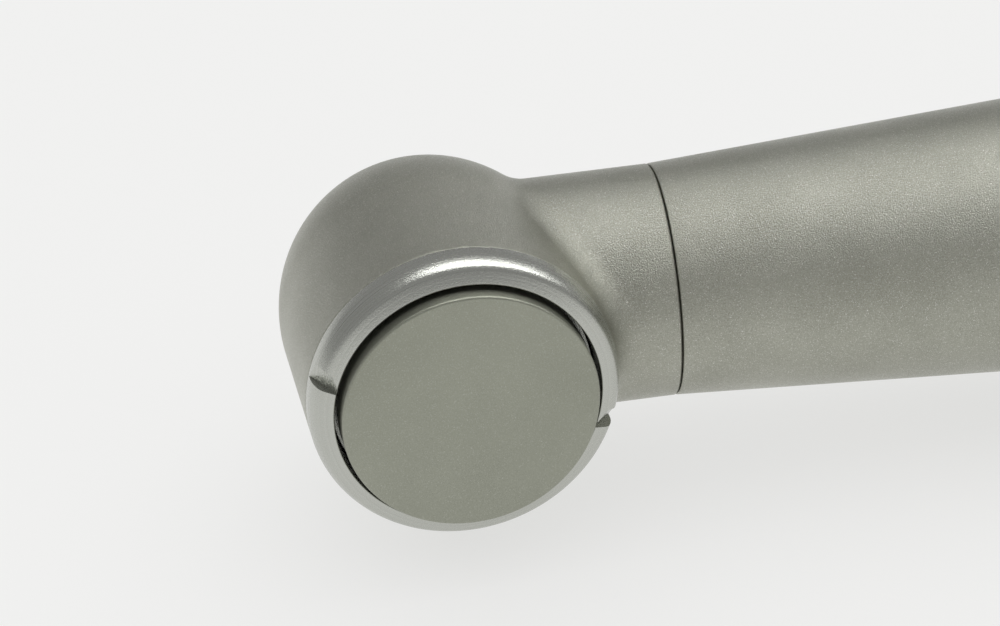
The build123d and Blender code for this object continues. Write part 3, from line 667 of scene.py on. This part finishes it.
handle_points += [
    Vector((connector_bore_r, connector_s)),
    Vector((grip_r - handle_wall, connector_s)),
    *run(wall_r(grip_start_s), wall_r(bend_end_s), 6),
    *run(wall_r(bend_end_s), wall_r(bend_start_s), 24),
    wall_r(bend_start_s),
    wall_r(inner_step_s),
    Vector((spigot_bore_r, inner_step_s)),
]
handle_shape = lathe(handle_points, HANDLE_STEPS)


def ridge(turns):
    """Height of one set of helical ridges, from 0 in the cut to 1 on top."""
    cut = abs((turns % 1) * 2 - 1)
    return min(1, cut * knurl_flank)


for vert in handle_shape.verts:
    s, reach = -vert.co.y, math.hypot(vert.co.x, vert.co.z)
    if knurl_start_s <= s <= knurl_end_s and reach > grip_r - 0.01:
        turn = math.atan2(vert.co.z, vert.co.x) / (2 * math.pi) * knurl_starts
        forward = s / knurl_pitch
        edge = min(1, (s - knurl_start_s) / knurl_fade, (knurl_end_s - s) / knurl_fade)
        height = min(ridge(turn + forward), ridge(turn - forward))
        scale = 1 - knurl_deep * edge * (1 - height) / reach
        vert.co.x *= scale
        vert.co.z *= scale
into_handle(handle_shape)
finish(handle_shape, "handle_shell")

# %% [markdown]
# ## Hose connector
#
# A ring clamps the connector in the tail. Behind it stands the thread for the hose's union nut, cut
# here as a real helix: the wall is a fine grid, and each point moves in by how far the cutter goes
# at its angle and station.

# %% Connector with a real thread
lock_ring_end_s = handle_end_s + 2.60
thread_start_s = handle_end_s - 0.80
clamp_thread_step = 0.80
clamp_thread_r = connector_r - clamp_thread_step
hose_thread_step = 0.25
hose_thread_r = clamp_thread_r - hose_thread_step
relief_r = hose_thread_r - hose_thread_step
relief_s = lock_ring_end_s + 0.40
face_s = handle_end_s + 8.0
thread_pitch = 0.80
thread_deep = 0.36
thread_fade = 0.3
face_edge = 0.4
front_edge = 0.2
seal_wire_r = 0.50
seal_half = seal_wire_r + pipe_gap
seal_groove_floor_r = connector_bore_r - 2 * seal_wire_r - pipe_gap
seal_stations = (106.0, 110.0)

connector_points = [
    Vector((0, connector_s)),
    Vector((connector_r - front_edge, connector_s)),
    Vector((connector_r, connector_s + front_edge)),
]
for s in seal_stations:
    connector_points += [
        Vector((connector_r, s - seal_half)),
        Vector((seal_groove_floor_r, s - seal_half)),
        Vector((seal_groove_floor_r, s + seal_half)),
        Vector((connector_r, s + seal_half)),
    ]
connector_points += [
    Vector((connector_r, thread_start_s)),
    Vector((clamp_thread_r, thread_start_s)),
    Vector((clamp_thread_r, lock_ring_end_s)),
    Vector((relief_r, lock_ring_end_s)),
    Vector((relief_r, relief_s)),
    *run((hose_thread_r, relief_s), (hose_thread_r, face_s - face_edge), 72),
    Vector((hose_thread_r, face_s - face_edge)),
    Vector((hose_thread_r - face_edge, face_s)),
    Vector((0, face_s)),
]
connector_shape = lathe(connector_points, 192)
for vert in connector_shape.verts:
    s, reach = -vert.co.y, math.hypot(vert.co.x, vert.co.z)
    if relief_s <= s <= face_s - face_edge and reach > hose_thread_r - 0.01:
        turns = s / thread_pitch - math.atan2(vert.co.z, vert.co.x) / (2 * math.pi)
        cut = max(0, min(1, 1.3 - 2.6 * abs(turns % 1 - 0.5)))
        fade = min(1, (s - relief_s) / thread_fade)
        scale = 1 - thread_deep * (1 - cut) * fade / reach
        vert.co.x *= scale
        vert.co.z *= scale
into_handle(connector_shape)
exhaust_out_at = (-1.173678907, -2.207368982)   # clear of the other three ports
ports = []
for place, outer_r, bore_r in (
    (drive_at, drive_r, drive_bore_r),
    (exhaust_out_at, exhaust_r, exhaust_bore_r),
    (water_at, small_r, small_bore_r),
    (chip_at, small_r, small_bore_r),
):
    ports.append(rod(place, bore_r, connector_s - 1, face_s + 1))
    ports.append(rod(place, outer_r + pipe_gap, connector_s - 1, connector_s + pipe_seat))
    ports.append(rod(place, outer_r + pipe_gap, face_s - pipe_seat, face_s + 1))
connector_shape = combined(connector_shape, ports, "DIFFERENCE")
finish(connector_shape, "connector_body")

# %% [markdown]
# The lock ring screws onto the connector behind the tail and holds it in the sheath.

# %% Lock ring
lock_r = tail_r - slide_gap
lock_round = 0.35
lock_ring_shape = lathe(outline(
    (clamp_thread_r + pipe_gap, thread_start_s),
    (connector_r, thread_start_s),
    (connector_r, handle_end_s),
    (lock_r, handle_end_s, seam_edge),
    (lock_r, lock_ring_end_s, lock_round),
    (clamp_thread_r + pipe_gap, lock_ring_end_s, 0.10),
))
into_handle(lock_ring_shape)
finish(lock_ring_shape, "lock_ring")

# %% [markdown]
# Four stubs stand in the connector's face, for drive air, exhaust, water and chip air. Each swells
# into a bead that the hose's rubber grips.

# %% Stubs for the hose
stub_end_s = face_s + 2.50
bead_s = face_s + 0.30
rubber_round = 0.06
for node, place, outer_r, bore_r, bead in (
    ("drive_air_nipple", drive_at, drive_r, drive_bore_r, 0.20),
    ("exhaust_nipple", exhaust_out_at, exhaust_r, exhaust_bore_r, 0.20),
    ("water_nipple", water_at, small_r, small_bore_r, 0.18),
    ("chip_air_nipple", chip_at, small_r, small_bore_r, 0.18),
):
    stub_shape = lathe(outline(
        (bore_r, face_s - pipe_seat),
        (outer_r, face_s - pipe_seat),
        (outer_r, bead_s),
        (outer_r + bead, bead_s, rubber_round),
        (outer_r + bead, stub_end_s, 3 * rubber_round),
        (bore_r, stub_end_s, rubber_round),
    ), 96)
    into_handle(stub_shape, place)
    finish(stub_shape, node)

# %% [markdown]
# ## Finishes
#
# Nearly everything is steel, and what tells one piece from another is how its surface was made:
# blasted with fine beads, turned, ground or drawn. All of them share one node group that makes grain
# of a given size. It returns the fine grain, sparse painted glints, which are near-white points
# painted into the colour where a facet would catch the light, and slow clouds of slightly different
# tone, such as cleaning and handling leave.

# %% Grain group
def new_group(name, inputs, outputs):
    """Empty shader node group with float inputs (name, value) and float outputs."""
    group = bpy.data.node_groups.new(name, "ShaderNodeTree")
    for label, value in inputs:
        socket = group.interface.new_socket(label, in_out="INPUT", socket_type="NodeSocketFloat")
        socket.default_value = value
    for label in outputs:
        group.interface.new_socket(label, in_out="OUTPUT", socket_type="NodeSocketFloat")
    start = group.nodes.new("NodeGroupInput")
    end = group.nodes.new("NodeGroupOutput")
    return group, start, end


def math_node(tree, operation, *values):
    """Math node whose inputs are numbers or sockets; returns its output."""
    node = tree.nodes.new("ShaderNodeMath")
    node.operation = operation
    for socket, value in zip(node.inputs, values):
        if isinstance(value, (int, float)):
            socket.default_value = value
        else:
            tree.links.new(value, socket)
    return node.outputs[0]


def remap(tree, value, low, high, to_low=0.0, to_high=1.0):
    """Carry a value from one range to another, held inside the new range."""
    node = tree.nodes.new("ShaderNodeMapRange")
    node.inputs["From Min"].default_value = low
    node.inputs["From Max"].default_value = high
    node.inputs["To Min"].default_value = to_low
    node.inputs["To Max"].default_value = to_high
    tree.links.new(value, node.inputs["Value"])
    return node.outputs["Result"]


def noise_node(tree, scale, detail, roughness=0.5):
    """Noise on object coordinates; scale is a number or a socket."""
    place = tree.nodes.new("ShaderNodeTexCoord")
    node = tree.nodes.new("ShaderNodeTexNoise")
    node.inputs["Detail"].default_value = detail
    node.inputs["Roughness"].default_value = roughness
    tree.links.new(place.outputs["Object"], node.inputs["Vector"])
    if isinstance(scale, (int, float)):
        node.inputs["Scale"].default_value = scale
    else:
        tree.links.new(scale, node.inputs["Scale"])
    return node.outputs["Fac"]


grain_glint_group, grain_in, grain_out = new_group(
    "metal grain", [("Grain per metre", 9000)], ["Grain", "Specks", "Clouds"]
)
fine = noise_node(grain_glint_group, grain_in.outputs["Grain per metre"], 3, 0.65)
grain_glint_group.links.new(remap(grain_glint_group, fine, 0.30, 0.70), grain_out.inputs["Grain"])
# Painted glints: sparse points, later painted near white into the colour, where a facet would catch
# the light.
painted_glint_scale = math_node(grain_glint_group, "MULTIPLY", grain_in.outputs["Grain per metre"], 1.7)
painted_glint_noise = noise_node(grain_glint_group, painted_glint_scale, 1)
grain_glint_group.links.new(remap(grain_glint_group, painted_glint_noise, 0.62, 0.74), grain_out.inputs["Specks"])
clouds = noise_node(grain_glint_group, 260, 3)
grain_glint_group.links.new(remap(grain_glint_group, clouds, 0.30, 0.70), grain_out.inputs["Clouds"])
print("grain group has", len(grain_glint_group.nodes), "nodes")

# %% [markdown]
# A turned face keeps the cutter's path: fine rings about the axis on a face, and fine rings along
# the axis on a wall. On a piece that lies on the bur axis, the first depends on the radius and the
# second on the depth, so the sum of both drives one set of lines. A piece in the rear of the handle
# is turned about another axis, so a Mapping node turns its coordinates first.

# %% Turned lines group
rear_origin, rear_along, _ = station(handle_end_s)
rear_angle = math.atan2(rear_along.y, rear_along.x) - math.pi / 2


def turned_lines(name, rear):
    """Group that returns fine lathe lines about the bur axis, or about the connector's axis."""
    group, start, end = new_group(name, [("Lines per metre", 12000)], ["Lines"])
    place = group.nodes.new("ShaderNodeTexCoord")
    centre = group.nodes.new("ShaderNodeMapping")
    if rear:
        centre.vector_type = "TEXTURE"
        centre.inputs["Location"].default_value = rear_origin * MM
        centre.inputs["Rotation"].default_value = (0, 0, rear_angle)
    group.links.new(place.outputs["Object"], centre.inputs["Vector"])
    parts = group.nodes.new("ShaderNodeSeparateXYZ")
    group.links.new(centre.outputs["Vector"], parts.inputs["Vector"])
    x_squared = math_node(group, "MULTIPLY", parts.outputs["X"], parts.outputs["X"])
    z_squared = math_node(group, "MULTIPLY", parts.outputs["Z"], parts.outputs["Z"])
    radius = math_node(group, "SQRT", math_node(group, "ADD", x_squared, z_squared))
    path = math_node(group, "ADD", radius, parts.outputs["Y"])
    lines = group.nodes.new("ShaderNodeTexNoise")
    lines.noise_dimensions = "1D"
    lines.inputs["Detail"].default_value = 2
    group.links.new(path, lines.inputs["W"])
    group.links.new(start.outputs["Lines per metre"], lines.inputs["Scale"])
    group.links.new(remap(group, lines.outputs["Fac"], 0.3, 0.7), end.inputs["Lines"])
    return group


bur_axis_lines = turned_lines("lathe lines on the bur axis", rear=False)
rear_axis_lines = turned_lines("lathe lines on the connector axis", rear=True)
print("lathe lines turned by", round(math.degrees(rear_angle), 2), "degrees for the connector")

# %% [markdown]
# Every metal is then one function with its own values: colour, roughness, how strongly grain and
# lines move them, and how deep both are. The two heights are added and reach the shader through one
# Bump node.

# %% Metal finishes
def use_group(tree, group, **values):
    node = tree.nodes.new("ShaderNodeGroup")
    node.node_tree = group
    for label, value in values.items():
        node.inputs[label.replace("_", " ")].default_value = value
    return node


def mixed(tree, share, first, second):
    """Colour between two colours; each is a colour or a socket."""
    node = tree.nodes.new("ShaderNodeMix")
    node.data_type = "RGBA"
    tree.links.new(share, node.inputs["Factor"])
    for socket, value in ((node.inputs["A"], first), (node.inputs["B"], second)):
        if isinstance(value, tuple):
            socket.default_value = (*value, 1)
        else:
            tree.links.new(value, socket)
    return node.outputs["Result"]


def new_material(name):
    material = bpy.data.materials.new(name)
    material.use_nodes = True
    return material, material.node_tree, material.node_tree.nodes["Principled BSDF"]


def metal(name, dark, light, rough, grain_per_metre, grain_deep, lines=None, line_deep=0.0,
          lines_per_metre=12000, painted_glint=0.0):
    """Metal whose colour runs from dark to light and whose roughness is a (smooth, rough) pair."""
    material, tree, shader = new_material(name)
    shader.inputs["Metallic"].default_value = 1
    grain = use_group(tree, grain_glint_group, Grain_per_metre=grain_per_metre)
    tone = math_node(tree, "MULTIPLY", grain.outputs["Clouds"], 0.35)
    tone = math_node(tree, "ADD", tone, math_node(tree, "MULTIPLY", grain.outputs["Grain"], 0.65))
    height = math_node(tree, "MULTIPLY", grain.outputs["Grain"], grain_deep)
    if lines:
        cut = use_group(tree, lines, Lines_per_metre=lines_per_metre).outputs["Lines"]
        height = math_node(tree, "ADD", height, math_node(tree, "MULTIPLY", cut, line_deep))
        tone = math_node(tree, "MULTIPLY", tone, 0.6)
        tone = math_node(tree, "ADD", tone, math_node(tree, "MULTIPLY", cut, 0.4))
    colour = mixed(tree, tone, dark, light)
    # Painted glints: the colour is pushed towards near white at sparse points, a painted highlight
    # where a facet would catch the light.
    if painted_glint:
        bright = math_node(tree, "MULTIPLY", grain.outputs["Specks"], painted_glint)
        colour = mixed(tree, bright, colour, (0.95, 0.95, 0.93))
    tree.links.new(colour, shader.inputs["Base Color"])
    tree.links.new(remap(tree, tone, 0, 1, *rough), shader.inputs["Roughness"])
    bump = tree.nodes.new("ShaderNodeBump")
    bump.inputs["Strength"].default_value = 1
    bump.inputs["Distance"].default_value = 1
    tree.links.new(height, bump.inputs["Height"])
    tree.links.new(bump.outputs["Normal"], shader.inputs["Normal"])
    return material


finishes = {
    "blasted_body": metal(
        "blasted steel", (0.295, 0.297, 0.248), (0.465, 0.468, 0.405), (0.38, 0.27), 17000, 1.6e-5,
        painted_glint=0.8,
    ),
    "satin_ring": metal(
        "satin steel", (0.46, 0.468, 0.432), (0.53, 0.538, 0.50), (0.30, 0.24), 16000, 4e-6,
        lines=bur_axis_lines, line_deep=1.2e-6, lines_per_metre=9000,
    ),
    "button_face": metal(
        "matte button steel", (0.295, 0.304, 0.252), (0.36, 0.37, 0.308), (0.44, 0.38), 17000, 8e-6,
        painted_glint=0.2,
    ),
    "bright_steel": metal(
        "ground steel", (0.50, 0.50, 0.48), (0.60, 0.60, 0.58), (0.24, 0.16), 16000, 6e-7,
        lines=bur_axis_lines, line_deep=1.5e-6, lines_per_metre=14000,
    ),
    "spring_steel": metal(
        "drawn wire", (0.42, 0.41, 0.38), (0.52, 0.51, 0.48), (0.34, 0.24), 9000, 1.5e-6,
    ),
    "turbine_metal": metal(
        "milled aluminium", (0.70, 0.70, 0.71), (0.80, 0.80, 0.81), (0.40, 0.30), 12000, 2e-6,
        lines=bur_axis_lines, line_deep=3e-6, lines_per_metre=8000,
    ),
    "turned_connector": metal(
        "turned steel", (0.46, 0.46, 0.44), (0.58, 0.58, 0.56), (0.34, 0.24), 14000, 1.5e-6,
        lines=rear_axis_lines, line_deep=3e-6, lines_per_metre=9000,
    ),
}
print(len(finishes), "metal finishes")

# %% [markdown]
# Three pieces aren't metal: the bearing cages are resin with cloth in it, the pipe spacer is a
# moulded plastic, and the seals are rubber.

# %% Resin and rubber
def moulded(name, dark, light, rough, grain_per_metre, grain_deep):
    """Plain moulded material with a slight grain."""
    material, tree, shader = new_material(name)
    grain = use_group(tree, grain_glint_group, Grain_per_metre=grain_per_metre)
    tree.links.new(mixed(tree, grain.outputs["Clouds"], dark, light), shader.inputs["Base Color"])
    tree.links.new(remap(tree, grain.outputs["Grain"], 0, 1, *rough), shader.inputs["Roughness"])
    bump = tree.nodes.new("ShaderNodeBump")
    bump.inputs["Distance"].default_value = grain_deep
    tree.links.new(grain.outputs["Grain"], bump.inputs["Height"])
    tree.links.new(bump.outputs["Normal"], shader.inputs["Normal"])
    return material


finishes["cage_resin"] = moulded(
    "cloth resin", (0.30, 0.14, 0.05), (0.46, 0.24, 0.09), (0.55, 0.42), 5000, 8e-6
)
finishes["spacer_resin"] = moulded(
    "moulded plastic", (0.030, 0.030, 0.034), (0.05, 0.05, 0.055), (0.55, 0.45), 6000, 4e-6
)
finishes["seal_rubber"] = moulded(
    "seal rubber", (0.012, 0.012, 0.013), (0.028, 0.028, 0.028), (0.62, 0.50), 7000, 3e-6
)

for node, node_object in frame["nodes"].items():
    targets = [o for o in bpy.data.objects if o.name == f"{node}_fine"] or [node_object]
    for target in targets:
        target.data.materials.clear()
        target.data.materials.append(finishes[node_slot[node]])
print("finished", len(frame["nodes"]), "nodes")

# %% [markdown]
# ## Studio
#
# A pale floor that glows a little, as a light table does, so that shadows on it stay faint. Metal
# shows what it reflects: one long narrow softbox overhead makes the highlights on ring and handle,
# and the dim room keeps the rest grey. A wide lamp that no metal mirrors adds soft light to the floor.

# %% Floor and lights
FLOOR_GAP = 0.00005
floor_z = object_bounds()[0][2]
floor_bm = bmesh.new()
bmesh.ops.create_grid(floor_bm, x_segments=1, y_segments=1, size=4)
bmesh.ops.translate(floor_bm, vec=(0, 0, floor_z - FLOOR_GAP), verts=floor_bm.verts)
floor = as_object(floor_bm, "floor")
floor_paint = bpy.data.materials.new("floor_paint")
floor_paint.use_nodes = True
floor_shader = floor_paint.node_tree.nodes["Principled BSDF"]
floor_shader.inputs["Base Color"].default_value = (0.30, 0.30, 0.298, 1)
floor_shader.inputs["Emission Color"].default_value = (1, 1, 0.99, 1)
floor_shader.inputs["Emission Strength"].default_value = 0.64
floor_shader.inputs["Roughness"].default_value = 0.9
floor_shader.inputs["Specular IOR Level"].default_value = 0.1
floor.data.materials.append(floor_paint)

world = bpy.data.worlds.new("room")
world.use_nodes = True
world.node_tree.nodes["Background"].inputs["Color"].default_value = (1, 1, 1, 1)
world.node_tree.nodes["Background"].inputs["Strength"].default_value = 0.355
bpy.context.scene.world = world
bpy.context.scene.view_settings.view_transform = "Standard"


def softbox(name, centre, size, power, target=(0.01, -0.01, 0)):
    """Rectangular lamp that faces the target."""
    lamp_data = bpy.data.lights.new(name, "AREA")
    lamp_data.shape = "RECTANGLE"
    lamp_data.size, lamp_data.size_y = size
    lamp_data.energy = power
    lamp = bpy.data.objects.new(name, lamp_data)
    direction = Vector(target) - Vector(centre)
    turn = direction.to_track_quat("-Z", "Y").to_matrix().to_4x4()
    lamp.matrix_world = Matrix.Translation(centre) @ turn
    bpy.context.collection.objects.link(lamp)
    return lamp


key = softbox("overhead", (0.50, 0.04, 0.6), (1.2, 0.17), 3.9, target=(0.50, 0.04, 0))
key.visible_diffuse = False
sky = softbox("sky", (0.0, 0.0, 1.0), (2.4, 2.4), 12, target=(0, 0, 0))
sky.visible_glossy = False
print("key and sky lamps")
